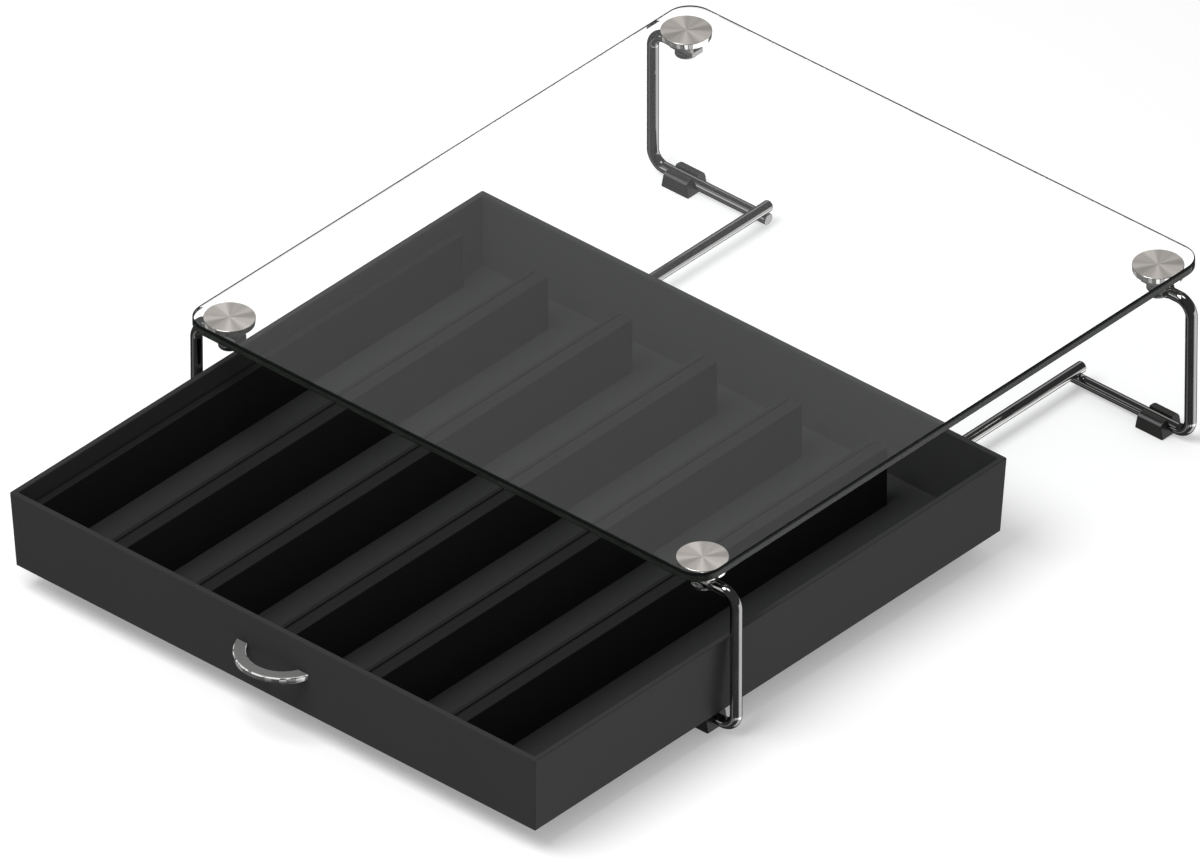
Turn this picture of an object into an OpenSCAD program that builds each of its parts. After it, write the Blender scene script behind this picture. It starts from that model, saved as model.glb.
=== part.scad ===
// Coffee pod drawer: a tempered glass top on a stand of bent rods, and a moulded drawer
// that slides on two rails below it. The drawer stands part of the way out.
// X is the width, -Y is the front and Z is up. The origin is on the counter, under the
// middle of the whole outline.

/* [Glass top] */
// Width of the glass, left to right
glass_w = 331; // [328:1:333]
// Depth of the glass, front to back
glass_l = 364; // [354:1:400]
// Thickness of the glass
glass_t = 5; // [4:0.5:6]
// Radius of the glass's corners
glass_r = 13; // [6:1:20]
// Height of the glass's upper face above the counter
stand_h = 96.6; // [92:0.2:120]

/* [Discs under the glass] */
// Diameter of the steel discs bonded to the glass
disc_d = 25.2; // [20:0.2:29]
// Thickness of a disc
disc_t = 3.5; // [2:0.5:4]
// Thickness of the clear bond between a disc and the glass
bond_t = 0.2; // [0.1:0.1:0.4]
// Diameter of the threaded stem below a disc
stem_d = 8; // [7:0.5:10]
// Length of the stem
stem_h = 5.2; // [5:0.2:8]
// Distance of the discs from the middle of the stand, along X
disc_x = 150.6; // [148:0.2:152]
// Diameter of the screw that holds a leg to its disc
screw_d = 4; // [3:0.5:5]
// Diameter of that screw's flat round head
screw_head_d = 11.2; // [8:0.2:12]
// Thickness of the screw's head
screw_head_t = 1.8; // [1.5:0.1:3]

/* [Legs and rails] */
// Diameter of the rods
rod_d = 6; // [5:0.5:7]
// Distance of the upright rods from the middle of the stand, along X
post_x = 172; // [171.5:0.5:180]
// Distance of the legs from the middle of the stand, along Y
leg_y = 164; // [150:1:169]
// Height of the lower rods' centre line above the counter
base_rod_z = 5; // [4.5:0.1:5.5]
// Radius of the bends, on the rod's centre line
bend_r = 8; // [6:0.5:9]
// Length of the pad pressed on a leg's upper end
pad_l = 14.6; // [12:0.2:15]
// Width of that pad
pad_w = 8; // [7:0.5:9]
// Thickness of that pad
pad_t = 3; // [2:0.1:3.2]
// Distance of the rails from the middle of the stand, along X
rail_x = 100.2; // [80:0.2:120]
// How far each end of a rail stands out past the lower rods
rail_over = 0.6; // [0.2:0.2:10]
// How deep the welds let the rails into the lower rods
weld_sink = 0.8; // [0.4:0.1:1.2]

/* [Feet] */
// Length of a foot at the counter, along the rod that it clips on
foot_l = 17.6; // [14:0.2:20]
// Width of a foot
foot_w = 14.5; // [12:0.5:17]
// Height of a foot
foot_h = 8.5; // [8:0.1:9.5]
// How much each end of a foot leans in towards its top
foot_draft = 1.6; // [0.5:0.1:2.5]
// Bevel along a foot's upper edges
foot_bevel = 1.6; // [0.5:0.1:2]
// Width of the mouth that snaps over the rod
clip_mouth = 3.8; // [3:0.1:5]
// Distance from the upright rod's centre line to the foot
foot_inset = 11.5; // [10:0.5:14]

/* [Drawer] */
// Width of the drawer at its rim
drawer_w = 335; // [320:1:336]
// Depth of the drawer at its rim
drawer_l = 337; // [330:1:345]
// Height of the drawer
drawer_h = 42.3; // [40:0.1:50]
// How much each side leans out from the floor to the rim
drawer_draft = 2; // [1:0.1:2.5]
// Thickness of the walls
wall_t = 3; // [2.5:0.1:3.5]
// Thickness of the floor
floor_t = 2.8; // [2:0.1:3.5]
// How far the drawer stands out from its closed place
drawer_out = 133; // [100:1:160]
// Space between the rails and the drawer's floor
glide_gap = 0.2; // [0.1:0.1:0.4]

/* [Pod dividers] */
// Distance between neighbouring columns of pods
column_pitch = 54.1; // [53:0.1:54.2]
// Width of a divider
divider_w = 10.2; // [8:0.1:11]
// Length of a divider
divider_l = 307; // [290:1:310]
// Height of a divider's lips above the drawer's underside
divider_top = 33.6; // [28:0.1:36]
// Thickness of a divider's walls and width of its lips
divider_wall = 2.2; // [1.6:0.1:2.4]
// Height of the lips along a divider's upper edges
lip_h = 1; // [0.6:0.1:1.5]
// Width of the guides along the drawer's sides
guide_w = 4.8; // [4.4:0.1:5.2]
// Width of a guide's lip
guide_lip_w = 1.2; // [1:0.1:2]
// Diameter of the pegs that hold the dividers in the floor
peg_d = 5; // [4:0.5:5]

/* [Handle] */
// Outer radius of the half-moon handle
handle_r = 24; // [20:0.5:28]
// Width of the handle's band
handle_band = 6.4; // [5:0.1:7]
// Thickness of the band
handle_t = 3.8; // [3.4:0.1:4.5]
// Distance from the drawer's front to the band's centre, which lies behind it
handle_sunk = 7.6; // [6:0.1:9]
// Height of the band's upper face above the drawer's underside
handle_top = 24.3; // [20:0.1:30]
// Diameter of the handle's threaded studs
stud_d = 3; // [2.5:0.5:3]
// Width of the nuts across their flats
nut_w = 5.5; // [5:0.1:6]
// Thickness of the nuts
nut_t = 2.4; // [2:0.1:2.8]

/* [Hidden] */
$fn = 64;

eps = 0.01;
bite = 20;
black_plastic = [0.15, 0.15, 0.155];
dark_chrome = [0.42, 0.42, 0.44];
brushed_steel = [0.70, 0.69, 0.68];

// Heights, from the glass down
glass_z = stand_h - glass_t;
disc_z = glass_z - bond_t - disc_t;
pad_z = disc_z - stem_h - pad_t;
top_rod_z = pad_z + pad_t / 2;
rail_z = base_rod_z + rod_d - weld_sink;
drawer_z = rail_z + rod_d / 2 + glide_gap;

// Legs and feet
rod_r = rod_d / 2;
pad_out = pad_l / 2;
taper_l = 1.5;
base_rod_end = rail_x - rod_r;
end_bevel = 0.6;
foot_x = post_x - foot_inset - foot_l / 2;
rail_l = 2 * (leg_y + rod_r + rail_over);
screw_l = pad_t + stem_h - 0.7;
screw_recess_d = 4.4;
screw_recess_h = 1.1;
play = 0.1;

// Drawer, from its own underside and centre
front_at_handle = side_at(drawer_l / 2, handle_top);
floor_l = drawer_l / 2 - drawer_draft - wall_t;
floor_w = drawer_w / 2 - drawer_draft - wall_t;
divider_front = -floor_l + 0.4;
divider_web = 2;
peg_end = 0.3;
peg_y = [divider_front + 0.15 * divider_l, divider_front + 0.85 * divider_l];
guide_peg_d = 4;
guide_x = floor_w - play - guide_w;
guide_peg_x = guide_x + guide_w - guide_peg_d / 2;
handle_mid = handle_top - handle_t / 2;
stud_x = (half_chord(handle_r) + half_chord(handle_r - handle_band)) / 2;
nut_y = -side_at(drawer_l / 2, handle_mid - nut_w / 2) + wall_t + 0.02;
stud_end = nut_y + nut_t + 0.8;

// The stand's centre lies behind the origin, because the drawer stands out in front
stand_front = -(drawer_out + front_at_handle + handle_r - handle_sunk);
stand_y = -(stand_front + glass_l / 2) / 2;

// Half width of the drawer's leaning side at a height above its underside
function side_at(half, z) = half - drawer_draft * (1 - z / drawer_h);

// Half chord that the drawer's front cuts from a circle about the handle's centre
function half_chord(r) = sqrt(r * r - handle_sunk * handle_sunk);

// ---- placing ----

module on_stand() {
    translate([0, stand_y, 0]) children();
}

module on_drawer() {
    translate([0, stand_y - drawer_out, drawer_z]) children();
}

// A part drawn for the right-hand rear corner, moved to the corner on sides x and y
module at_corner(x, y) {
    on_stand() translate([0, y * leg_y, 0]) mirror([x < 0 ? 1 : 0, 0, 0]) children();
}

// ---- shared shapes ----

module rounded_plate(w, l, r, t) {
    translate([-w / 2 + r, -l / 2, 0]) cube([w - 2 * r, l, t]);
    translate([-w / 2, -l / 2 + r, 0]) cube([w, l - 2 * r, t]);
    for (x = [-1, 1], y = [-1, 1])
        translate([x * (w / 2 - r), y * (l / 2 - r), 0]) cylinder(r = r, h = t);
}

// A rod along +Z from the origin, with a bevel at its far end
module bevelled_rod(length) {
    rotate_extrude() polygon([
        [0, 0], [rod_r, 0], [rod_r, length - end_bevel], [rod_r - end_bevel, length], [0, length]
    ]);
}

module along_x() {
    rotate([0, 90, 0]) children();
}

module along_y() {
    rotate([-90, 0, 0]) children();
}

// A block whose four sides lean out from a small base to a wide top
module leaning_block(base_w, base_l, top_w, top_l, h) {
    intersection() {
        along_y() translate([0, 0, -top_l / 2 - bite])
            linear_extrude(top_l + 2 * bite)
                polygon([[-base_w / 2, 0], [base_w / 2, 0], [top_w / 2, -h], [-top_w / 2, -h]]);
        along_x() translate([0, 0, -top_w / 2 - bite])
            linear_extrude(top_w + 2 * bite)
                polygon([[0, -base_l / 2], [0, base_l / 2], [-h, top_l / 2], [-h, -top_l / 2]]);
    }
}

// ---- glass and its discs ----

module glass_top() {
    color([0.72, 0.80, 0.77, 0.4])
        on_stand() translate([0, 0, glass_z]) rounded_plate(glass_w, glass_l, glass_r, glass_t);
}

module glass_bonds() {
    color([0.9, 0.92, 0.92, 0.5])
        for (x = [-1, 1], y = [-1, 1])
            at_corner(x, y) translate([disc_x, 0, glass_z - bond_t])
                cylinder(d = disc_d - 0.4, h = bond_t);
}

module disc() {
    translate([disc_x, 0, disc_z]) difference() {
        union() {
            cylinder(d = disc_d, h = disc_t);
            translate([0, 0, -stem_h]) cylinder(d = stem_d, h = stem_h + eps);
        }
        translate([0, 0, -stem_h - eps]) cylinder(d = screw_d, h = stem_h + eps);
    }
}

module leg_screw() {
    translate([disc_x, 0, pad_z]) {
        translate([0, 0, -eps]) cylinder(d = screw_d, h = screw_l + eps);
        difference() {
            translate([0, 0, -screw_head_t]) cylinder(d = screw_head_d, h = screw_head_t);
            translate([0, 0, -screw_head_t - eps])
                cylinder(d = screw_recess_d, h = screw_recess_h, $fn = 6);
        }
    }
}

// ---- legs, rails and feet ----

// A quarter bend that runs from the end of a rod along +X up or down to an upright
module bend(turn) {
    translate([post_x - bend_r, 0, 0]) rotate([90 * turn, 0, 0])
        translate([0, bend_r, 0]) rotate([0, 0, -90])
            rotate_extrude(angle = 90) translate([bend_r, 0]) circle(r = rod_r);
}

// The pad pressed on the rod's end, with the shoulder where the rod becomes round
module pad() {
    translate([disc_x - pad_out, -pad_w / 2, -pad_t / 2]) cube([pad_l, pad_w, pad_t]);
    intersection() {
        translate([disc_x + pad_out - eps, 0, 0]) along_x()
            cylinder(d1 = pad_w, d2 = rod_d, h = taper_l + eps);
        translate([disc_x + pad_out, pad_w, 0]) rotate([90, 0, 0])
            linear_extrude(2 * pad_w)
                polygon([
                    [-eps, -pad_t / 2], [taper_l, -pad_w / 2], [taper_l, pad_w / 2], [-eps, pad_t / 2]
                ]);
    }
}

module leg() {
    difference() {
        union() {
            translate([0, 0, top_rod_z]) {
                pad();
                translate([disc_x + pad_out + taper_l - eps, 0, 0]) along_x()
                    cylinder(r = rod_r, h = post_x - bend_r - disc_x - pad_out - taper_l + eps);
                bend(-1);
            }
            translate([post_x, 0, base_rod_z + bend_r])
                cylinder(r = rod_r, h = top_rod_z - base_rod_z - 2 * bend_r);
            translate([0, 0, base_rod_z]) {
                bend(1);
                translate([post_x - bend_r, 0, 0]) rotate([0, -90, 0])
                    bevelled_rod(post_x - bend_r - base_rod_end);
            }
        }
        translate([disc_x, 0, top_rod_z - pad_t]) cylinder(d = screw_d + 4 * play, h = 2 * pad_t);
        translate([rail_x, -2 * rod_d, rail_z]) along_y() cylinder(r = rod_r, h = 4 * rod_d);
    }
}

module rail(x) {
    half = rail_l / 2;
    color(dark_chrome) on_stand() translate([x * rail_x, 0, rail_z]) along_y()
        rotate_extrude() polygon([
            [0, -half], [rod_r - end_bevel, -half], [rod_r, -half + end_bevel],
            [rod_r, half - end_bevel], [rod_r - end_bevel, half], [0, half]
        ]);
}

// The foot's section across the rod: a block with bevelled shoulders
module foot_section() {
    half = foot_w / 2;
    polygon([
        [-half, 0], [half, 0], [half, foot_h - foot_bevel], [half - foot_bevel, foot_h],
        [-half + foot_bevel, foot_h], [-half, foot_h - foot_bevel]
    ]);
}

module foot() {
    translate([foot_x, 0, 0]) difference() {
        intersection() {
            translate([-foot_l / 2, 0, 0]) rotate([90, 0, 90])
                linear_extrude(foot_l) foot_section();
            translate([0, foot_w, 0]) rotate([90, 0, 0]) linear_extrude(2 * foot_w)
                polygon([
                    [-foot_l / 2, 0], [foot_l / 2, 0],
                    [foot_l / 2 - foot_draft, foot_h], [-foot_l / 2 + foot_draft, foot_h]
                ]);
        }
        translate([-foot_l, 0, base_rod_z]) along_x() cylinder(r = rod_r, h = 2 * foot_l);
        translate([-foot_l, -clip_mouth / 2, base_rod_z])
            cube([2 * foot_l, clip_mouth, foot_h]);
    }
}

// ---- drawer ----

module tray_outside() {
    leaning_block(drawer_w - 2 * drawer_draft, drawer_l - 2 * drawer_draft,
                  drawer_w, drawer_l, drawer_h);
}

// The space inside the walls, which lean as the outside does and run on above the rim
module tray_inside() {
    run_on = 1 + 1 / drawer_h;
    translate([0, 0, floor_t])
        leaning_block(2 * side_at(drawer_w / 2, floor_t) - 2 * wall_t,
                      2 * side_at(drawer_l / 2, floor_t) - 2 * wall_t,
                      2 * side_at(drawer_w / 2, run_on * drawer_h) - 2 * wall_t,
                      2 * side_at(drawer_l / 2, run_on * drawer_h) - 2 * wall_t,
                      run_on * drawer_h - floor_t);
}

module peg_hole(x, d) {
    for (y = peg_y) translate([x, y, -eps]) cylinder(d = d + play, h = floor_t + 2 * eps);
}

module drawer_tray() {
    color(black_plastic) on_drawer() difference() {
        tray_outside();
        tray_inside();
        for (i = [-2 : 2]) peg_hole(i * column_pitch, peg_d);
        for (side = [-1, 1]) peg_hole(side * guide_peg_x, guide_peg_d);
        for (side = [-1, 1])
            translate([side * stud_x, -drawer_l / 2 - eps, handle_mid]) along_y()
                cylinder(d = stud_d + play, h = 3 * wall_t);
    }
}

// A divider between two columns: a moulding open below, with a lip along each upper edge
module divider(i) {
    web_top = divider_top - lip_h;
    color(black_plastic) on_drawer() translate([(i - 3) * column_pitch, 0, 0]) {
        difference() {
            translate([-divider_w / 2, divider_front, floor_t])
                cube([divider_w, divider_l, divider_top - floor_t]);
            translate([-divider_w / 2 + divider_wall, divider_front - eps, web_top])
                cube([divider_w - 2 * divider_wall, divider_l + 2 * eps, lip_h + eps]);
            translate([-divider_w / 2 + divider_wall, divider_front + divider_wall, floor_t - eps])
                cube([divider_w - 2 * divider_wall, divider_l - 2 * divider_wall,
                      web_top - divider_web - floor_t + eps]);
        }
        for (y = peg_y) translate([0, y, peg_end])
            cylinder(d = peg_d, h = web_top - divider_web - peg_end + eps);
    }
}

// A guide along one side wall: an upright wall with a lip, and a shelf out to the side
module side_guide(side) {
    web_top = divider_top - lip_h;
    color(black_plastic) on_drawer() mirror([side < 0 ? 1 : 0, 0, 0]) {
        translate([guide_x, divider_front, floor_t])
            cube([guide_lip_w, divider_l, divider_top - floor_t]);
        translate([guide_x, divider_front, floor_t])
            cube([divider_wall, divider_l, web_top - floor_t]);
        translate([guide_x, divider_front, web_top - divider_web])
            cube([guide_w, divider_l, divider_web]);
        for (y = peg_y) translate([guide_peg_x, y, peg_end])
            cylinder(d = guide_peg_d, h = web_top - divider_web - peg_end + eps);
    }
}

// ---- handle ----

// A ring cut off by the drawer's leaning front, with two studs through the wall
module handle() {
    centre_y = -front_at_handle + handle_sunk;
    color("silver") on_drawer() {
        difference() {
            translate([0, centre_y, handle_top - handle_t]) difference() {
                cylinder(r = handle_r, h = handle_t);
                translate([0, 0, -eps])
                    cylinder(r = handle_r - handle_band, h = handle_t + 2 * eps);
            }
            tray_outside();
        }
        for (side = [-1, 1])
            translate([side * stud_x, -front_at_handle - handle_band / 2, handle_mid]) along_y()
                cylinder(d = stud_d, h = stud_end + front_at_handle + handle_band / 2);
    }
}

module handle_nuts() {
    color(brushed_steel) on_drawer()
        for (side = [-1, 1]) translate([side * stud_x, nut_y, handle_mid]) along_y()
            difference() {
                cylinder(d = nut_w / cos(30), h = nut_t, $fn = 6);
                translate([0, 0, -eps]) cylinder(d = stud_d, h = nut_t + 2 * eps);
            }
}

// ---- coloured corner parts ----

module disc_at(x, y) {
    color(brushed_steel) at_corner(x, y) disc();
}

module leg_at(x, y) {
    color(dark_chrome) at_corner(x, y) leg();
}

module foot_at(x, y) {
    color([0.09, 0.09, 0.1]) at_corner(x, y) foot();
}

module leg_screws() {
    color(dark_chrome) for (x = [-1, 1], y = [-1, 1]) at_corner(x, y) leg_screw();
}

glass_top();
glass_bonds();
disc_at(-1, -1);  // disc_front_left
disc_at(1, -1);  // disc_front_right
disc_at(-1, 1);  // disc_rear_left
disc_at(1, 1);  // disc_rear_right
leg_screws();
leg_at(-1, -1);  // leg_front_left
leg_at(1, -1);  // leg_front_right
leg_at(-1, 1);  // leg_rear_left
leg_at(1, 1);  // leg_rear_right
rail(-1);  // rail_left
rail(1);  // rail_right
foot_at(-1, -1);  // foot_front_left
foot_at(1, -1);  // foot_front_right
foot_at(-1, 1);  // foot_rear_left
foot_at(1, 1);  // foot_rear_right
drawer_tray();
divider(1);  // divider_1
divider(2);  // divider_2
divider(3);  // divider_3
divider(4);  // divider_4
divider(5);  // divider_5
side_guide(-1);  // side_guide_left
side_guide(1);  // side_guide_right
handle();
handle_nuts();
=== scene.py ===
"""Coffee pod drawer: a glass shelf on bent chrome legs, with a moulded drawer on two rails."""
import math

import bmesh
import bpy
from mathutils import Matrix, Vector


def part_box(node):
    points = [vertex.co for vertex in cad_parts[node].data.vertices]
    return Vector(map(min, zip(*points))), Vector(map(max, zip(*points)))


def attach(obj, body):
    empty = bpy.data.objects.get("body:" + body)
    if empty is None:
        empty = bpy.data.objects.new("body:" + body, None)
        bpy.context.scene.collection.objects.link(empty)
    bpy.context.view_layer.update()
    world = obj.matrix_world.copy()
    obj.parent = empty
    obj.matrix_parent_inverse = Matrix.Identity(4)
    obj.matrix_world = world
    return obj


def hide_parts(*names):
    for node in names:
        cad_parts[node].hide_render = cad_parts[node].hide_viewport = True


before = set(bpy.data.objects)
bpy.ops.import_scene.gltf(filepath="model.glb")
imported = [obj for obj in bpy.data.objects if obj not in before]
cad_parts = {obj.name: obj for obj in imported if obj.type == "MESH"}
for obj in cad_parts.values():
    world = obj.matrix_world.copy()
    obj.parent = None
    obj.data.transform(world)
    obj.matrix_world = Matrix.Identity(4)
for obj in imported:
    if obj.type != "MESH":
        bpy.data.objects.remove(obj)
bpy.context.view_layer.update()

MM = 0.001  # pieces are drawn in millimetres and scaled to metres
CREASE = 32  # degrees: an edge that turns by more stays sharp
MERGE_WITHIN = 1e-6  # metres


def middle(node):
    low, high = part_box(node)
    return (low + high) / (2 * MM)


STAND_Y = middle("glass_top").y
DRAWER_Y = middle("drawer_tray").y
DRAWER_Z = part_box("drawer_tray")[0].z / MM

# Glass. Its band of painted shade on the upper arris reaches DARK_ARRIS_DEPTH down, and DARK_ARRIS_WITHIN
# where it shows through the glass.
GLASS_W, GLASS_L, GLASS_T, GLASS_R, GLASS_ARRIS = 331.0, 364.0, 5.0, 13.0, 0.6
GLASS_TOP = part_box("glass_top")[1].z / MM
DARK_ARRIS_DEPTH, DARK_ARRIS_WITHIN = 1.6, 2.6
MIRROR_NEAR = 30.0  # what metal mirrors from further off passes straight through the glass's faces

# Discs, each turned with the stem below it
DISC_D, DISC_T, DISC_TAPER, DISC_SOFT = 25.2, 3.5, 0.25, 0.35
DISC_RINGS, DISC_CENTRE = (0.6, 0.3), 0.4
STEM_D, STEM_H, STEM_SOFT = 8.0, 5.2, 0.4
STEM_FILLET = [(0.0, -0.8), (0.25, -0.25), (0.8, 0.0)]  # out from the stem, and up to the disc
SCREW_D, SCREW_SOFT = 4.0, 0.3
DISC_X, LEG_Y = 150.6, 164.0

# Legs and rails. The pad starts to round off PAD_EASE_AT before its end, over a length of PAD_EASE.
ROD_R, ROD_SOFT, BEND_R, POST_X = 3.0, 0.6, 8.0, 172.0
BASE_Z, TOP_ROD_Z = 5.0, 81.2
PAD_L, PAD_W, PAD_T, PAD_BURR = 14.6, 8.0, 3.0, 0.12
PAD_EASE_AT, PAD_EASE = 1.2, 3.2
PAD_POWER, ROUND_POWER = 9.0, 2.0
RAIL_X, RAIL_Z, RAIL_L = 100.2, 10.2, 335.2
RAIL_RINGS = (-90.0, 0.0, 90.0)
BEAD_R, BEAD_RIPPLE, BEAD_STEP = 0.42, 0.07, 2.3
BEAD_SPANS, BEAD_SIDES = 16, 10

# Feet
FOOT_X, FOOT_L, FOOT_W, FOOT_H = 151.7, 17.6, 14.5, 8.5
FOOT_DRAFT, FOOT_SHOULDER, FOOT_ROUND = 1.6, 2.7, 0.8
CLIP_MOUTH, CLIP_PLAY, NEARLY = 3.8, 0.02, 0.01

# Drawer, its dividers and its side guides
DRAWER_W, DRAWER_L, DRAWER_H, DRAFT = 335.0, 337.0, 42.3, 2.0
WALL_T, FLOOR_T, SOLE_RIM = 3.0, 2.8, 2.0
PITCH, DIVIDER_W, DIVIDER_L = 54.1, 10.2, 307.0
DIVIDER_TOP, LIP_W, LIP_H = 33.6, 2.2, 1.0
DIVIDER_FRONT = -163.1
DIVIDER_XS = [number * PITCH for number in range(-2, 3)]
GUIDE_X, GUIDE_W, GUIDE_WALL, GUIDE_LEDGE, GUIDE_LIP_W = 157.6, 4.8, 2.2, 2.0, 1.2
PEG_D, GUIDE_PEG_D, PEG_PLAY, HOLE_END = 5.0, 4.0, 0.1, 0.4
PEG_LOW, PEG_SOFT, PEG_ROOT = 0.3, 0.3, 1.0
GUIDE_PEG_X = GUIDE_X + GUIDE_W - GUIDE_PEG_D / 2
PEG_YS = [DIVIDER_FRONT + share * DIVIDER_L for share in (0.15, 0.85)]

# Handle. Its circle's middle is HANDLE_SUNK behind the front, and its ends go HANDLE_TAIL into the wall.
HANDLE_R, HANDLE_BAND, HANDLE_T, HANDLE_TOP = 23.99, 6.4, 3.8, 24.3
HANDLE_SUNK, HANDLE_TAIL = 7.6, 2.0
HANDLE_ARRIS, HANDLE_DRAFT = 0.8, 0.26
STUD_D, STUD_X, STUD_START, STUD_END = 3.0, 19.31, -166.5, -161.21
STUD_TIP = [(0.1, 0.25), (0.45, 0.0)]  # in from the crest, and back from the end
THREAD_PITCH, THREAD_DEPTH = 0.5, 0.22

CORNERS = {
    "front_left": (-1, -1),
    "front_right": (1, -1),
    "rear_left": (-1, 1),
    "rear_right": (1, 1),
}
SIDES = {"left": -1, "right": 1}


# ---- shading ----


class Shade:
    """A node's output in a material. Arithmetic on it adds Math nodes."""

    def __init__(self, tree, out=None):
        self.tree, self.out = tree, out

    def node(self, kind, inputs=None, out=0, **settings):
        """Adds a node with these settings, then sets or links its sockets."""
        made = self.tree.nodes.new("ShaderNode" + kind)
        for name, value in settings.items():
            setattr(made, name, value)
        for name, value in (inputs or {}).items():
            socket = made.inputs[name]
            if isinstance(value, Shade):
                self.tree.links.new(value.out, socket)
            else:
                socket.default_value = value
        if made.outputs:
            return Shade(self.tree, made.outputs[out])

    def maths(self, operation, *values, **settings):
        return self.node("Math", dict(enumerate(values)), operation=operation, **settings)

    def __add__(self, other):
        return self.maths("ADD", self, other)

    __radd__ = __add__

    def __sub__(self, other):
        return self.maths("SUBTRACT", self, other)

    def __rsub__(self, other):
        return self.maths("SUBTRACT", other, self)

    def __mul__(self, other):
        return self.maths("MULTIPLY", self, other)

    __rmul__ = __mul__

    def __truediv__(self, other):
        return self.maths("DIVIDE", self, other)

    def __rtruediv__(self, other):
        return self.maths("DIVIDE", other, self)

    def __pow__(self, other):
        return self.maths("POWER", self, other)

    def above(self, limit):
        return self.maths("GREATER_THAN", self, limit)

    def clipped(self):
        return self.maths("ADD", self, 0.0, use_clamp=True)

    def part(self, axis):
        """The X, Y or Z of this vector, as axis is 0, 1 or 2."""
        return self.node("SeparateXYZ", {0: self}, out=axis)

    def rise(self, low, high, **settings):
        """A value that goes from 0 to 1 as this one goes from low to high."""
        return self.node("MapRange", {"Value": self, "From Min": low, "From Max": high}, **settings)

    def between(self, low, high):
        """A value that goes from low to high as this one goes from 0 to 1."""
        return self * (high - low) + low

    def blend(self, first, second):
        """A colour that goes from first to second as this value goes from 0 to 1."""
        return self.node("Mix", {0: self, 6: first, 7: second}, out=2, data_type="RGBA")

    def bump(self, strength, distance):
        """A normal that follows this height. The distance is in metres."""
        return self.node("Bump", {"Strength": strength, "Distance": distance, "Height": self})


def finish(name):
    """A new material, with its nodes cleared."""
    material = bpy.data.materials.new(name)
    material.use_nodes = True
    material.node_tree.nodes.clear()
    return material, Shade(material.node_tree)


def surface(sheet, shader, volume=None):
    sockets = {"Surface": shader}
    if volume:
        sockets["Volume"] = volume
    sheet.node("OutputMaterial", sockets)


def rgb(red, green, blue):
    return (red, green, blue, 1.0)


def grey(value):
    return rgb(value, value, value)


def noise(sheet, where, scale, detail=2.0, roughness=0.5):
    sockets = {"Vector": where, "Scale": scale, "Detail": detail, "Roughness": roughness}
    return sheet.node("TexNoise", sockets)


def upward(sheet):
    """How far the surface faces up, from -1 to 1."""
    return sheet.node("NewGeometry", out="Normal").part(2)


def ray_is(sheet, kind):
    return sheet.node("LightPath", out=f"Is {kind} Ray")


def unshaded(sheet, shader, tint, faces=1.0):
    """Lets light and shadow straight through a clear piece. Its faces also pass what far metal mirrors."""
    clear = sheet.node("BsdfTransparent", {"Color": tint})
    far = sheet.node("LightPath", out="Ray Length").above(MIRROR_NEAR * MM)
    mirrored = ray_is(sheet, "Glossy") * (1 - ray_is(sheet, "Transmission")) * far
    straight = (ray_is(sheet, "Shadow") + ray_is(sheet, "Diffuse") + mirrored * faces).clipped()
    return sheet.node("MixShader", {0: straight, 1: shader, 2: clear})


def tempered_glass():
    """Clear glass with its upper arris painted dark as shade, and polished edges painted dark green for the
    long green path they look in on.
    """
    material, sheet = finish("tempered_glass")
    where = sheet.node("TexCoord", out="Object")
    glass = sheet.node("BsdfPrincipled", {
        "Base Color": grey(1.0),
        "Roughness": 0.0,
        "IOR": 1.5,
        "Transmission Weight": 1.0,
    })
    ripple = noise(sheet, where, 55.0, 3.0)
    # Painted shade and reflection: opaque dark green on the edges, standing in for the long path through the
    # glass
    painted_green_edge = sheet.node("BsdfPrincipled", {
        "Base Color": ripple.blend(rgb(0.010, 0.013, 0.011), rgb(0.058, 0.068, 0.057)),
        "Roughness": 0.10,
        "IOR": 1.5,
    })
    # Painted shade: a near-black, barely shiny band on the upper arris
    painted_dark_arris = sheet.node("BsdfPrincipled", {
        "Base Color": ripple.blend(rgb(0.004, 0.005, 0.0045), rgb(0.010, 0.012, 0.011)),
        "Roughness": 0.22,
        "Specular IOR Level": 0.06,
    })
    clear = sheet.node("BsdfTransparent", {"Color": rgb(0.97, 0.985, 0.975)})
    flat = sheet.maths("ABSOLUTE", sheet.node("NewGeometry", out="True Normal").part(2))
    around = sheet.maths("LESS_THAN", flat, 0.99)
    sloped = around * flat.above(0.15)
    outside = 1 - sheet.node("NewGeometry", out="Backfacing")
    painted_dark_arris_from = outside.between(-DARK_ARRIS_WITHIN * MM, -DARK_ARRIS_DEPTH * MM)
    upper = where.part(2).above(painted_dark_arris_from)
    painted_dark_arris_here = (around * upper + sloped * outside).clipped()
    dark_share, clear_share = 0.6, 0.75  # of an edge as seen from outside, and from within
    body = sheet.node("MixShader", {0: around * outside * dark_share, 1: glass, 2: painted_green_edge})
    body = sheet.node("MixShader", {0: around * (1 - outside) * clear_share, 1: body, 2: clear})
    body = sheet.node("MixShader", {0: painted_dark_arris_here, 1: body, 2: painted_dark_arris})
    shader = unshaded(sheet, body, rgb(0.985, 0.992, 0.988), 1 - around)
    green = sheet.node("VolumeAbsorption", {"Color": rgb(0.42, 0.60, 0.50), "Density": 9.0})
    surface(sheet, shader, green)
    return material


def clear_bond():
    material, sheet = finish("clear_bond")
    where = sheet.node("TexCoord", out="Object")
    cloud = noise(sheet, where, 900.0)
    film = sheet.node("BsdfPrincipled", {
        "Base Color": rgb(0.95, 0.97, 0.96),
        "Roughness": cloud.between(0.0, 0.04),
        "IOR": 1.02,
        "Transmission Weight": 1.0,
    })
    surface(sheet, unshaded(sheet, film, grey(0.99)))
    return material


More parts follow.
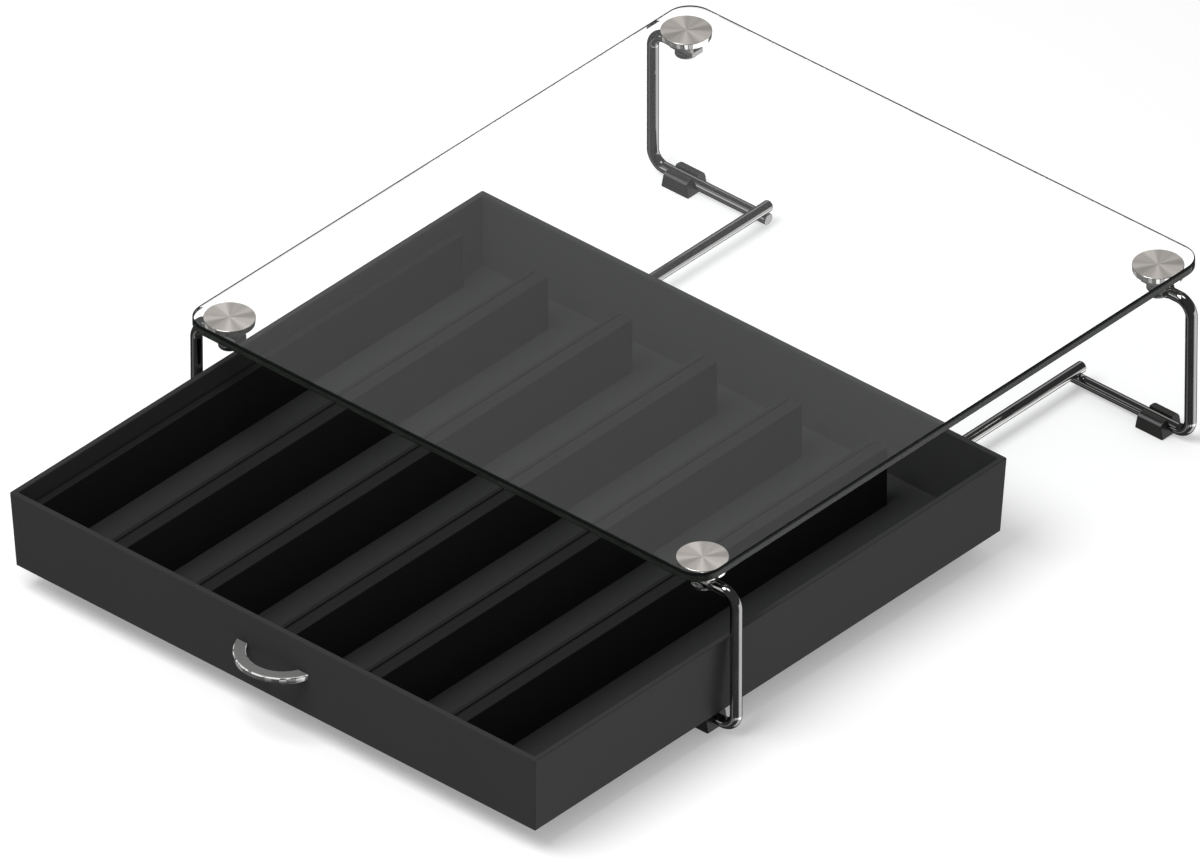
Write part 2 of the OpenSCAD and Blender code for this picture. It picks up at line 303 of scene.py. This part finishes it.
def turned_steel():
    """Steel faced on a lathe: fine rings, a painted highlight in wedges round the face, and a polished rim.
    """
    material, sheet = finish("turned_steel")
    where = sheet.node("TexCoord", out="Object")
    x, y = where.part(0), where.part(1)
    radius = (x * x + y * y) ** 0.5
    turn = sheet.maths("ARCTAN2", y, x)
    rings = sheet.node("TexNoise", {"W": radius * 9000.0, "Detail": 2.0}, noise_dimensions="1D")
    # Painted highlight: light and dark wedges round the centre, put into the face's colour
    painted_fan_highlight = 0.5
    for blades, shift, weight in ((2.0, 0.7, 0.26), (5.0, -0.9, 0.30), (9.0, 1.3, 0.20)):
        painted_fan_highlight = sheet.maths("COSINE", turn * blades + shift) * weight + painted_fan_highlight
    face = painted_fan_highlight.clipped().blend(rgb(0.46, 0.415, 0.403), rgb(0.84, 0.758, 0.735))
    flat = upward(sheet).above(0.85)
    surface(sheet, sheet.node("BsdfPrincipled", {
        "Base Color": flat.blend(rgb(0.95, 0.93, 0.91), face),
        "Metallic": 1 - flat * 0.60,
        "Roughness": flat * rings.between(0.36, 0.48) + (1 - flat) * 0.04,
        "Normal": (rings * flat).bump(0.35, 0.00003),
    }))
    return material


def dark_chrome():
    """Polished rod with the faint ripple and draw marks of bent wire."""
    material, sheet = finish("dark_chrome")
    where = sheet.node("TexCoord", out="Object")
    ripple = noise(sheet, where, 60.0, 1.0)
    haze = noise(sheet, where, 45.0, 4.0, 0.6)
    surface(sheet, sheet.node("BsdfPrincipled", {
        "Base Color": haze.blend(rgb(0.56, 0.555, 0.55), rgb(0.64, 0.635, 0.63)),
        "Metallic": 1.0,
        "Roughness": haze.between(0.04, 0.10),
        "Normal": ripple.bump(0.03, 0.00006),
    }))
    return material


def weld_metal():
    material, sheet = finish("weld_metal")
    where = sheet.node("TexCoord", out="Object")
    ripple = noise(sheet, where, 1400.0)
    surface(sheet, sheet.node("BsdfPrincipled", {
        "Base Color": ripple.blend(rgb(0.34, 0.335, 0.33), rgb(0.50, 0.495, 0.49)),
        "Metallic": 1.0,
        "Roughness": ripple.between(0.18, 0.34),
        "Normal": ripple.bump(0.4, 0.0001),
    }))
    return material


def plated_screw():
    material, sheet = finish("plated_screw")
    where = sheet.node("TexCoord", out="Object")
    haze = noise(sheet, where, 700.0, 3.0)
    surface(sheet, sheet.node("BsdfPrincipled", {
        "Base Color": haze.blend(rgb(0.42, 0.42, 0.43), rgb(0.56, 0.56, 0.57)),
        "Metallic": 1.0,
        "Roughness": haze.between(0.16, 0.32),
    }))
    return material


def black_nylon():
    """The feet's moulded nylon, with a paler highlight painted along the round shoulders."""
    material, sheet = finish("black_nylon")
    where = sheet.node("TexCoord", out="Object")
    grain = noise(sheet, where, 2600.0)
    cloud = noise(sheet, where, 120.0, 3.0)
    up = upward(sheet)
    # Painted highlight: faces that slope like the round shoulders are made paler
    shoulder = up.rise(0.40, 0.60) * up.rise(0.93, 0.75) * cloud.between(0.8, 1.2)
    black = cloud.blend(rgb(0.017, 0.0165, 0.016), rgb(0.026, 0.025, 0.0243))
    surface(sheet, sheet.node("BsdfPrincipled", {
        "Base Color": shoulder.blend(black, grey(0.15)),
        "Roughness": cloud.between(0.24, 0.34),
        "Normal": grain.bump(0.25, 0.00004),
    }))
    return material


def moulded_black(name, low, high, gloss, grain_scale):
    """Satin black moulding with a spark-eroded grain and faint flow clouds."""
    material, sheet = finish(name)
    where = sheet.node("TexCoord", out="Object")
    grain = noise(sheet, where, grain_scale, 2.0, 0.6)
    cloud = noise(sheet, where, 14.0, 4.0, 0.55)
    surface(sheet, sheet.node("BsdfPrincipled", {
        "Base Color": cloud.blend(low, high),
        "Roughness": (cloud * 0.5 + grain * 0.5).between(gloss - 0.05, gloss + 0.05),
        "Specular IOR Level": 0.05,
        "Normal": grain.bump(0.16, 0.00003),
    }))
    return material


def satin_chrome():
    """Cast handle: a blasted matt top, a polished outer wall, and a bright broken line painted on the arris
    between as a highlight.
    """
    material, sheet = finish("satin_chrome")
    where = sheet.node("TexCoord", out="Object")
    up = upward(sheet)
    top = up.rise(0.86, 0.97)
    line = up.rise(0.12, 0.30) * (1 - top)
    blasted = noise(sheet, where, 2600.0, 3.0, 0.75)
    highlight_breaks = noise(sheet, where, 420.0, 2.0, 0.6)
    # Painted highlight: a near-white, less metallic line along the arris, broken up by noise
    painted_arris_highlight = line * highlight_breaks.rise(0.36, 0.50)
    matt = blasted.blend(rgb(0.11, 0.108, 0.106), rgb(0.36, 0.356, 0.352))
    colour = top.blend(rgb(0.70, 0.69, 0.68), matt)
    surface(sheet, sheet.node("BsdfPrincipled", {
        "Base Color": painted_arris_highlight.blend(colour, grey(0.95)),
        "Metallic": 1 - top * 0.72 - painted_arris_highlight * 0.80,
        "Roughness": top.between(0.11, 0.42),
        "Normal": (blasted * top).bump(0.25, 0.00003),
    }))
    return material


GLASS = tempered_glass()
BOND = clear_bond()
TURNED = turned_steel()
CHROME = dark_chrome()
WELD = weld_metal()
SCREW = plated_screw()
NYLON = black_nylon()
TRAY = moulded_black("moulded_tray", rgb(0.033, 0.033, 0.0333), rgb(0.039, 0.039, 0.0393), 0.32, 3200.0)
BARS = moulded_black("moulded_bars", rgb(0.014, 0.014, 0.0138), rgb(0.018, 0.018, 0.0178), 0.36, 3600.0)
SATIN = satin_chrome()


# ---- building ----


def new_object(name, data):
    made = bpy.data.objects.new(name, data)
    bpy.context.scene.collection.objects.link(made)
    return made


def mesh_object(name, shape, material):
    mesh = bpy.data.meshes.new(name)
    shape.to_mesh(mesh)
    shape.free()
    mesh.materials.append(material)
    return new_object(name, mesh)


def piece(name, shape, material, body, slot, *nodes, at=(0, 0, 0), crease=CREASE, bevel=0.0, steps=2):
    """Turns a shape in millimetres into a piece that rides on a body and stands for its nodes."""
    bmesh.ops.recalc_face_normals(shape, faces=shape.faces)
    for face in shape.faces:
        face.smooth = True
    for edge in shape.edges:
        edge.smooth = len(edge.link_faces) == 2 and edge.calc_face_angle(0) < math.radians(crease)
    bmesh.ops.scale(shape, vec=(MM, MM, MM), verts=shape.verts)
    made = mesh_object(name, shape, material)
    made.location = Vector(at) * MM
    if bevel:
        rounded(made, bevel, steps, crease)
    made.modifiers.new("even_shading", "WEIGHTED_NORMAL").keep_sharp = True
    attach(made, body)
    if nodes:
        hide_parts(*nodes)


def rounded(made, width, steps, crease):
    """Rounds the weighted edges of an object, or where it has no weights all its sharp ones."""
    bevel = made.modifiers.new("moulded_edges", "BEVEL")
    bevel.width = width * MM
    bevel.segments = steps
    bevel.limit_method = "WEIGHT" if "bevel_weight_edge" in made.data.attributes else "ANGLE"
    bevel.angle_limit = math.radians(crease)
    bevel.harden_normals = True


def add_ring(shape, points):
    return [shape.verts.new(p) for p in points]


def join_rings(shape, rings, capped=True):
    """Faces between neighbouring rings, with a flat cap on each end."""
    for low, high in zip(rings, rings[1:]):
        count = len(low)
        for i in range(count):
            j = (i + 1) % count
            shape.faces.new((low[i], low[j], high[j], high[i]))
    if capped:
        shape.faces.new(list(reversed(rings[0])))
        shape.faces.new(rings[-1])


def circle(shape, x, y, radius, z, steps=24):
    angles = [2 * math.pi * i / steps for i in range(steps)]
    return add_ring(shape, [(x + radius * math.cos(a), y + radius * math.sin(a), z) for a in angles])


def lathe(profile, steps=96):
    """Turns (radius, height) pairs about Z, with a flat cap at each end."""
    shape = bmesh.new()
    join_rings(shape, [circle(shape, 0, 0, radius, height, steps) for radius, height in profile])
    return shape


def lathe_along_y(profile, steps):
    """Turns (radius, y) pairs about Y."""
    shape = lathe(profile, steps)
    bmesh.ops.rotate(shape, verts=shape.verts, matrix=Matrix.Rotation(math.radians(-90), 3, "X"))
    return shape


def arc(centre, radius, start, stop, steps):
    """Points on an arc, given by its centre, radius and first and last angle in degrees."""
    angles = [math.radians(start + (stop - start) * i / steps) for i in range(steps + 1)]
    return [(centre[0] + radius * math.cos(a), centre[1] + radius * math.sin(a)) for a in angles]


def rounded_outline(width, length, radius, steps=14):
    x, y = width / 2 - radius, length / 2 - radius
    corners = [(x, y, 0), (-x, y, 90), (-x, -y, 180), (x, -y, 270)]
    return [p for cx, cy, a in corners for p in arc((cx, cy), radius, a, a + 90, steps)]


# ---- glass and discs ----


def glass_plate():
    """The top, with polished arrises all round."""
    shape = bmesh.new()
    levels = [(GLASS_ARRIS, 0.0)]
    levels += [(GLASS_ARRIS - x, GLASS_ARRIS + y) for x, y in arc((0, 0), GLASS_ARRIS, -67.5, 0, 3)]
    levels += [(inset, GLASS_T - height) for inset, height in reversed(levels)]
    rings = []
    for inset, height in levels:
        outline = rounded_outline(GLASS_W - 2 * inset, GLASS_L - 2 * inset, GLASS_R - inset)
        rings.append(add_ring(shape, [(x, y, height - GLASS_T) for x, y in outline]))
    join_rings(shape, rings)
    piece("glass_plate", shape, GLASS, "stand", "glass", "glass_top", at=(0, STAND_Y, GLASS_TOP), crease=50)


def disc(corner):
    """A turned disc with a stem below it, drilled for the leg's screw."""
    r, t, soft = DISC_D / 2, DISC_T, DISC_SOFT
    stem_r, screw_r = STEM_D / 2, SCREW_D / 2
    profile = [(screw_r, -STEM_H + SCREW_SOFT), (screw_r + SCREW_SOFT, -STEM_H)]
    profile += [(stem_r - STEM_SOFT, -STEM_H), (stem_r, -STEM_H + STEM_SOFT)]
    profile += [(stem_r + out, z) for out, z in STEM_FILLET]
    profile += arc((r - DISC_TAPER - soft, soft), soft, -90, 0, 4)
    profile += arc((r - soft, t - soft), soft, 0, 90, 4)
    profile += [(r * share, t) for share in DISC_RINGS] + [(DISC_CENTRE, t)]
    node = "disc_" + corner
    low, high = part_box(node)
    at = ((low.x + high.x) / 2 / MM, (low.y + high.y) / 2 / MM, high.z / MM - t)
    piece("turned_disc_" + corner, lathe(profile), TURNED, "stand", "disc_steel", node, at=at)


# ---- legs, rails and feet ----


def rod_section(half_w, half_t, power, steps=40):
    """An outline between a round rod and a flattened pad, which has a higher power."""
    points = []
    for i in range(steps):
        a = 2 * math.pi * (i + 0.5) / steps
        c, s = math.cos(a), math.sin(a)
        points.append((
            half_w * math.copysign(abs(c) ** (2 / power), c),
            half_t * math.copysign(abs(s) ** (2 / power), s),
        ))
    return points


def bend(x, z, start, stop, section, steps=14):
    """A bend's centres, each with the direction in which the rod runs there, and its section."""
    found = []
    for i in range(steps + 1):
        a = start + (stop - start) * i / steps
        rad = math.radians(a)
        found.append((x + BEND_R * math.cos(rad), z + BEND_R * math.sin(rad), a - 90, section))
    return found


def leg_path():
    """Centres, directions and sections from the pad, round both bends, to the lower rod's end."""
    half_w, half_t = PAD_W / 2, PAD_T / 2
    pad = (half_w, half_t, PAD_POWER)
    rod = (ROD_R, ROD_R, ROUND_POWER)
    inner, ease_x = DISC_X - PAD_L / 2, DISC_X + PAD_L / 2 - PAD_EASE_AT
    path = [
        (inner, TOP_ROD_Z, 0, (half_w - PAD_BURR, half_t - PAD_BURR, PAD_POWER)),
        (inner + PAD_BURR, TOP_ROD_Z, 0, pad),
        (ease_x, TOP_ROD_Z, 0, pad),
    ]
    for i in range(1, 9):
        share = i / 8
        ease = share * share * (3 - 2 * share)
        section = (
            half_w + (ROD_R - half_w) * ease,
            half_t + (ROD_R - half_t) * ease,
            ROUND_POWER + (PAD_POWER - ROUND_POWER) * (1 - ease) ** 2,
        )
        path.append((ease_x + PAD_EASE * share, TOP_ROD_Z, 0, section))
    turn_x = POST_X - BEND_R
    path += bend(turn_x, TOP_ROD_Z - BEND_R, 90, 0, rod)
    path += bend(turn_x, BASE_Z + BEND_R, 0, -90, rod)
    soft_x = RAIL_X - ROD_R + ROD_SOFT
    path.append((soft_x, BASE_Z, -180, rod))
    for i in range(1, 5):
        a = math.radians(22.5 * i)
        thin = ROD_R - ROD_SOFT * (1 - math.cos(a))
        path.append((soft_x - ROD_SOFT * math.sin(a), BASE_Z, -180, (thin, thin, ROUND_POWER)))
    return path


def leg(corner, side_x, side_y):
    """One rod from the flattened pad under the disc to the end below the rail."""
    shape = bmesh.new()
    rings = []
    for x, z, heading, (half_w, half_t, power) in leg_path():
        a = math.radians(heading)
        up = Vector((-math.sin(a), 0, math.cos(a)))
        ring = [Vector((x, 0, z)) + up * v + Vector((0, u, 0)) for u, v in rod_section(half_w, half_t, power)]
        rings.append(add_ring(shape, [(side_x * p.x, p.y, p.z) for p in ring]))
    join_rings(shape, rings)
    at = (0, STAND_Y + side_y * LEG_Y, 0)
    piece("bent_leg_" + corner, shape, CHROME, "stand", "rods", "leg_" + corner, at=at)


def weld(corner, side_x, side_y):
    """The bead where a rail is welded down on a lower rod."""
    shape = bmesh.new()
    total = (RAIL_Z - BASE_Z) / ROD_R
    widest = math.acos(total - 1)
    half = []
    for i in range(BEAD_SPANS + 1):
        a = widest * math.cos(math.pi * i / BEAD_SPANS)
        b = math.acos(min(1, total - math.cos(a)))
        half.append((a, b))
    loop = half + [(a, -b) for a, b in half[-2:0:-1]]
    points = [
        Vector((ROD_R * math.sin(a), ROD_R * math.sin(b), BASE_Z + ROD_R * math.cos(b)))
        for a, b in loop
    ]
    count = len(points)
    turns = [2 * math.pi * k / BEAD_SIDES for k in range(BEAD_SIDES)]
    rings = []
    for i, point in enumerate(points):
        along = (points[(i + 1) % count] - points[i - 1]).normalized()
        out = Vector((point.x, point.y, 0)).normalized()
        side = along.cross(out).normalized()
        out = side.cross(along).normalized()
        radius = BEAD_R + BEAD_RIPPLE * math.sin(i * BEAD_STEP)
        rings.append(add_ring(shape, [
            point + (out * math.cos(t) + side * math.sin(t)) * radius for t in turns
        ]))
    join_rings(shape, rings + [rings[0]], capped=False)
    at = (side_x * RAIL_X, STAND_Y + side_y * LEG_Y, 0)
    piece("weld_" + corner, shape, WELD, "stand", "rods", at=at)


def rail(side, side_x):
    half, soft = RAIL_L / 2, ROD_SOFT
    profile = arc((ROD_R - soft, -half + soft), soft, -90, 0, 4)
    profile += [(ROD_R, y) for y in RAIL_RINGS]
    profile += arc((ROD_R - soft, half - soft), soft, 0, 90, 4)
    at = (side_x * RAIL_X, STAND_Y, RAIL_Z)
    shape = lathe_along_y(profile, 40)
    piece("drawn_rail_" + side, shape, CHROME, "stand", "rods", "rail_" + side, at=at)


def foot_ring(shape, outline, end, turn):
    """The foot's section near an end, drawn in as the end's rounded corners turn from 0 to 90 degrees."""
    a = math.radians(turn)
    inset = FOOT_ROUND * (1 - math.cos(a))
    points = []
    for y, z in outline:
        x = FOOT_L / 2 - FOOT_DRAFT * z / FOOT_H - FOOT_ROUND * (1 - math.sin(a))
        outer = abs(y) > FOOT_W / 2 - FOOT_SHOULDER - NEARLY
        y -= math.copysign(inset, y) if outer else 0
        points.append((end * x, y, z))
    return add_ring(shape, points)


def foot(corner, side_x, side_y):
    """A nylon block with a C-shaped bore that snaps over the lower rod."""
    mouth = CLIP_MOUTH / 2
    bore = ROD_R + CLIP_PLAY
    start = math.degrees(math.acos(mouth / bore))
    shoulder = arc((FOOT_W / 2 - FOOT_SHOULDER, FOOT_H - FOOT_SHOULDER), FOOT_SHOULDER, 0, 90, 5)
    right = [(FOOT_W / 2, 0)] + shoulder + [(mouth, FOOT_H)]
    ring = arc((0, BASE_Z), bore, start, -180 - start, 28)
    outline = right + ring + [(-y, z) for y, z in reversed(right)]
    shape = bmesh.new()
    rings = [foot_ring(shape, outline, -1, a) for a in range(90, -1, -18)]
    rings += [foot_ring(shape, outline, 1, a) for a in range(0, 91, 18)]
    join_rings(shape, rings)
    at = (side_x * FOOT_X, STAND_Y + side_y * LEG_Y, 0)
    piece(
        "clip_foot_" + corner, shape, NYLON, "stand", "feet", "foot_" + corner,
        at=at, crease=25, bevel=0.55, steps=3,
    )


# ---- drawer ----


def lean(height):
    """How far a wall's face stands in from the rim's line at a height above the underside."""
    return DRAFT * (1 - height / DRAWER_H)


def tray_ring(shape, inset, height):
    x = DRAWER_W / 2 - inset - lean(height)
    y = DRAWER_L / 2 - inset - lean(height)
    return add_ring(shape, [(x, y, height), (-x, y, height), (-x, -y, height), (x, -y, height)])


def loop_edges(shape, ring):
    return [shape.edges.get((ring[i - 1], ring[i])) for i in range(len(ring))]


def peg_hole(shape, x, y, diameter):
    """A socket in the tray's underside. Gives the edges of its mouth."""
    rings = [circle(shape, x, y, diameter / 2, z) for z in (0, FLOOR_T - HOLE_END)]
    join_rings(shape, rings, capped=False)
    shape.faces.new(rings[1])
    return loop_edges(shape, rings[0])


def drawer_shell():
    """The tray: leaning walls, a flat rim, and sockets below in which the pegs' ends show."""
    shape = bmesh.new()
    levels = [(SOLE_RIM, 0), (0, 0), (0, DRAWER_H), (WALL_T, DRAWER_H), (WALL_T, FLOOR_T)]
    rings = [tray_ring(shape, *level) for level in levels]
    join_rings(shape, rings, capped=False)
    shape.faces.new(rings[-1])
    softened = shape.edges.layers.float.new("bevel_weight_edge")
    for edge in shape.edges:
        edge[softened] = float(not any(end in rings[0] for end in edge.verts))
    bounds = loop_edges(shape, rings[0])
    for y in PEG_YS:
        for x in DIVIDER_XS:
            bounds += peg_hole(shape, x, y, PEG_D + PEG_PLAY)
        for side_x in SIDES.values():
            bounds += peg_hole(shape, side_x * GUIDE_PEG_X, y, GUIDE_PEG_D + PEG_PLAY)
    bmesh.ops.triangle_fill(shape, use_beauty=True, edges=bounds)
    at = (0, DRAWER_Y, DRAWER_Z)
    piece("drawer_shell", shape, TRAY, "drawer", "tray", "drawer_tray", at=at, bevel=0.5, steps=3)


def bar_run(x, side, outline):
    """A straight bar along the drawer, with this outline beside x, drawn out to a side."""
    shape = bmesh.new()
    rings = [
        add_ring(shape, [(side * (x + u), y, v) for u, v in outline])
        for y in (DIVIDER_FRONT, DIVIDER_FRONT + DIVIDER_L)
    ]
    join_rings(shape, rings)
    return shape


def peg(shape, x, y, diameter, top):
    r = diameter / 2
    profile = [(r - PEG_SOFT, PEG_LOW), (r, PEG_LOW + PEG_SOFT), (r, top)]
    join_rings(shape, [circle(shape, x, y, radius, z) for radius, z in profile])


def divider_bar(number, x):
    """A bar between two columns, with a raised lip along each side."""
    half, top = DIVIDER_W / 2, DIVIDER_TOP
    web = top - LIP_H
    shape = bar_run(0, 1, [
        (-half, FLOOR_T), (half, FLOOR_T), (half, top), (half - LIP_W, top),
        (half - LIP_W, web), (-half + LIP_W, web), (-half + LIP_W, top), (-half, top),
    ])
    for y in PEG_YS:
        peg(shape, 0, y, PEG_D, FLOOR_T + PEG_ROOT)
    at = (x, DRAWER_Y, DRAWER_Z)
    name, node = f"divider_bar_{number}", f"divider_{number}"
    piece(name, shape, BARS, "drawer", "dividers", node, at=at, bevel=0.3, steps=3)


def side_bar(side, side_x):
    """Half a divider, against the drawer's side wall."""
    web = DIVIDER_TOP - LIP_H
    ledge = web - GUIDE_LEDGE
    shape = bar_run(GUIDE_X, side_x, [
        (0, FLOOR_T), (GUIDE_WALL, FLOOR_T), (GUIDE_WALL, ledge), (GUIDE_W, ledge),
        (GUIDE_W, web), (GUIDE_LIP_W, web), (GUIDE_LIP_W, DIVIDER_TOP), (0, DIVIDER_TOP),
    ])
    for y in PEG_YS:
        peg(shape, side_x * GUIDE_PEG_X, y, GUIDE_PEG_D, web - PEG_ROOT)
    at = (0, DRAWER_Y, DRAWER_Z)
    name, node = "side_bar_" + side, "side_guide_" + side
    piece(name, shape, BARS, "drawer", "dividers", node, at=at, bevel=0.25, steps=3)


# ---- handle ----


def half_moon_handle():
    """A band bent round a circle that lies partly behind the front, with a stud at each end."""
    face = DRAWER_L / 2 - lean(HANDLE_TOP)
    middle_r = HANDLE_R - HANDLE_BAND / 2
    half_w, half_t, soft = HANDLE_BAND / 2, HANDLE_T / 2, HANDLE_ARRIS
    narrow = half_w - HANDLE_DRAFT
    corners = [
        (half_w - soft, half_t - soft, 0),
        (-half_w + soft, half_t - soft, 90),
        (-narrow + soft, -half_t + soft, 180),
        (narrow - soft, -half_t + soft, 270),
    ]
    section = [p for x, z, a in corners for p in arc((x, z), soft, a, a + 90, 5)]
    reach = math.degrees(math.acos((HANDLE_SUNK - HANDLE_TAIL) / middle_r))
    shape = bmesh.new()
    rings = []
    steps = 72
    for i in range(steps + 1):
        a = math.radians(-reach + 2 * reach * i / steps)
        rings.append(add_ring(shape, [
            ((middle_r + u) * math.sin(a), -(middle_r + u) * math.cos(a), v) for u, v in section
        ]))
    join_rings(shape, rings)
    level = HANDLE_TOP - HANDLE_T / 2
    at = (0, DRAWER_Y - face + HANDLE_SUNK, DRAWER_Z + level)
    piece("half_moon_handle", shape, SATIN, "drawer", "handle", "handle", at=at, crease=60)
    for side, side_x in SIDES.items():
        handle_stud(side, side_x, level)


def handle_stud(side, side_x, level):
    """A threaded stud through the front wall, seen where it stands out of its nut."""
    crest = STUD_D / 2
    profile = [(crest, STUD_START)]
    y = STUD_START + THREAD_PITCH
    while y < STUD_END - THREAD_PITCH:
        profile += [(crest, y), (crest - THREAD_DEPTH, y + THREAD_PITCH / 2)]
        y += THREAD_PITCH
    profile += [(crest - inset, STUD_END - back) for inset, back in STUD_TIP]
    at = (side_x * STUD_X, DRAWER_Y, DRAWER_Z + level)
    shape = lathe_along_y(profile, 24)
    piece("handle_stud_" + side, shape, SCREW, "drawer", "fasteners", at=at, crease=50)


def kept_node(name, material, bevel=0.0):
    """A CAD node that stays as it is, with its own finish and softened edges."""
    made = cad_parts[name]
    made.data.materials.clear()
    made.data.materials.append(material)
    if bevel:
        made.modifiers.new("joined_faces", "WELD").merge_threshold = MERGE_WITHIN
        rounded(made, bevel, 2, CREASE)


glass_plate()
for corner_name, (way_x, way_y) in CORNERS.items():
    disc(corner_name)
    leg(corner_name, way_x, way_y)
    weld(corner_name, way_x, way_y)
    foot(corner_name, way_x, way_y)
for side_name, way_x in SIDES.items():
    rail(side_name, way_x)
    side_bar(side_name, way_x)
drawer_shell()
for bar, bar_x in enumerate(DIVIDER_XS, 1):
    divider_bar(bar, bar_x)
half_moon_handle()
kept_node("glass_bonds", BOND)
kept_node("leg_screws", SCREW, 0.3)
kept_node("handle_nuts", SCREW, 0.15)


# ---- counter, light and camera ----


def counter():
    """A pale counter that stays white to the eye and keeps soft shadows."""
    material, sheet = finish("pale_counter")
    lit = sheet.node("BsdfDiffuse", {"Color": grey(0.82)})
    to_eye, through_glass = 0.27, 0.52
    strength = ray_is(sheet, "Camera") * to_eye + ray_is(sheet, "Transmission") * through_glass
    glow = sheet.node("Emission", {"Color": grey(1.0), "Strength": strength})
    surface(sheet, sheet.node("AddShader", {0: lit, 1: glow}))
    shape = bmesh.new()
    bmesh.ops.create_circle(shape, cap_ends=True, segments=64, radius=9.0)
    made = mesh_object("counter", shape, material)
    made.location.z = -0.0002  # just clear of the feet
    made.visible_glossy = False


# Low cards in a ring: azimuth, half width, strength. Azimuths are from +X towards +Y, in degrees.
CARDS = [(27, 41, 1.0), (-49, 7, 1.0), (-86, 7, 0.30), (-24, 11, 0.35), (178, 14, 0.25)]
CARD_SOFT = 3  # degrees

# Round patches: azimuth, elevation, the cosines of the outer and the full radius, strength,
# and which faces of a rod mirror it
PATCHES = [
    (131.7, 34.5, 0.955, 0.99, 0.35),  # those that face up
    (-122, -34.5, 0.985, 0.995, 0.15),  # those that face the front
    (0, 90, 0.972, 0.980, 1.8),  # those between up and the camera, as in a bend
    (-124, 6, 0.976, 0.986, 0.7),  # those 25 degrees up from the front
    (-130, 31, 0.987, 0.992, 0.25),  # those 40 degrees up from the front
]

SWEEP, CARD, RING, ROOM = 0.74, 0.95, 0.10, 0.04  # strengths: the room's is between the others
AMBIENT = 0.52  # what all but metal is lit by


def studio():
    """White behind everything. Metal sees a dark room with a low white sweep, cards and patches of light."""
    world = bpy.data.worlds.new("studio")
    bpy.context.scene.world = world
    world.use_nodes = True
    world.node_tree.nodes.clear()
    sheet = Shade(world.node_tree)
    ray = sheet.node("TexCoord", out="Generated")

    def along(azimuth, elevation):
        """How far the ray points that way, from -1 to 1."""
        a, e = math.radians(azimuth), math.radians(elevation)
        way = (math.cos(a) * math.cos(e), math.sin(a) * math.cos(e), math.sin(e))
        return sheet.node("VectorMath", {0: ray, 1: way}, out="Value", operation="DOT_PRODUCT")

    def step(value, low, high):
        return value.rise(low, high, interpolation_type="SMOOTHSTEP")

    height = along(0, 90)
    level = (1 - height * height) ** 0.5
    cards = 0.0
    for azimuth, half_width, strength in CARDS:
        edge, soft = (math.cos(math.radians(half_width + more)) for more in (0, CARD_SOFT))
        cards = step(along(azimuth, 0) / level, soft, edge) * strength + cards
    sweep = step(along(102, 0), -0.35, 0.15) * step(along(-10, 0), 0.0, 0.10) * step(height, 0.06, -0.02)
    low_ring = step(height, -0.595, -0.605) * step(height, -0.74, -0.70)
    seen = sweep * SWEEP + low_ring * (cards * CARD + RING) + ROOM
    for azimuth, elevation, outer, full, strength in PATCHES:
        seen = step(along(azimuth, elevation), outer, full) * strength + seen
    glossy = ray_is(sheet, "Glossy")
    white = (ray_is(sheet, "Camera") + ray_is(sheet, "Transmission") * step(height, 0.02, -0.02)).clipped()
    strength = white + (1 - white) * (glossy * seen + (1 - glossy) * AMBIENT)
    background = sheet.node("Background", {"Color": grey(1.0), "Strength": strength})
    sheet.node("OutputWorld", {"Surface": background})


def area_light(name, place, target, size, watts):
    light = bpy.data.lights.new(name, "AREA")
    light.shape = "DISK"
    light.size = size
    light.energy = watts
    made = new_object(name, light)
    made.location = place
    made.rotation_euler = (Vector(target) - Vector(place)).to_track_quat("-Z", "Y").to_euler()
    made.visible_glossy = False


def camera_at(azimuth, elevation, width, target, lens):
    """A long lens, so far off that parallel edges stay parallel."""
    a, e = math.radians(azimuth), math.radians(elevation)
    back = Vector((math.sin(a) * math.cos(e), -math.cos(a) * math.cos(e), math.sin(e)))
    camera = bpy.data.cameras.new("camera")
    camera.lens, camera.sensor_width = lens, 36.0
    camera.clip_start, camera.clip_end = 0.5, 60.0
    made = new_object("camera", camera)
    made.location = Vector(target) + back * (width * lens / camera.sensor_width)
    made.rotation_euler = back.to_track_quat("Z", "Y").to_euler()
    bpy.context.scene.camera = made


counter()
studio()
area_light("key", place=(-0.17, -0.85, 1.60), target=(0, -0.06, 0.05), size=1.2, watts=21.5)
camera_at(41.677, 34.525, width=0.57195, target=(0.00053, -0.00071, 0.048), lens=1150.0)
bpy.context.scene.view_settings.view_transform = "Standard"
